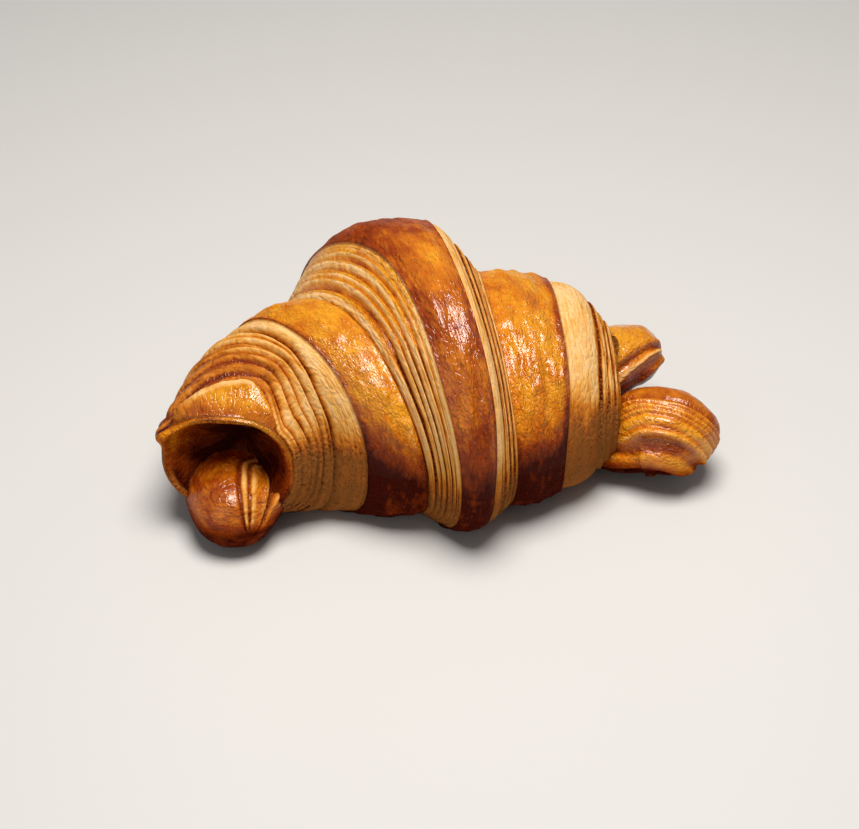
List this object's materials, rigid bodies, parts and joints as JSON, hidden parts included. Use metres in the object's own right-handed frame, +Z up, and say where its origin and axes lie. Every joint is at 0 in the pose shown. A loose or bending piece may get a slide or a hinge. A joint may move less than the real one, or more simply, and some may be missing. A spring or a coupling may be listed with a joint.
{
  "type": "croissant",
  "caption": "Plump butter croissant: a rolled crescent of layered dough with a raised crown, glossy brown crust bands, ridged cut layers and a horn at each end.",
  "frame": {"origin": "under the middle of the croissant's bounding box, on the surface it lies on", "axes": "+X from the left horn to the right horn, -Y towards the side the horns bend to, +Z up"},
  "size_m": [0.1528, 0.0968, 0.0684],
  "materials": {
    "baked_dough": "satin"
  },
  "bodies": {
    "root": {"croissant": "baked_dough"}
  },
  "joints": []
}
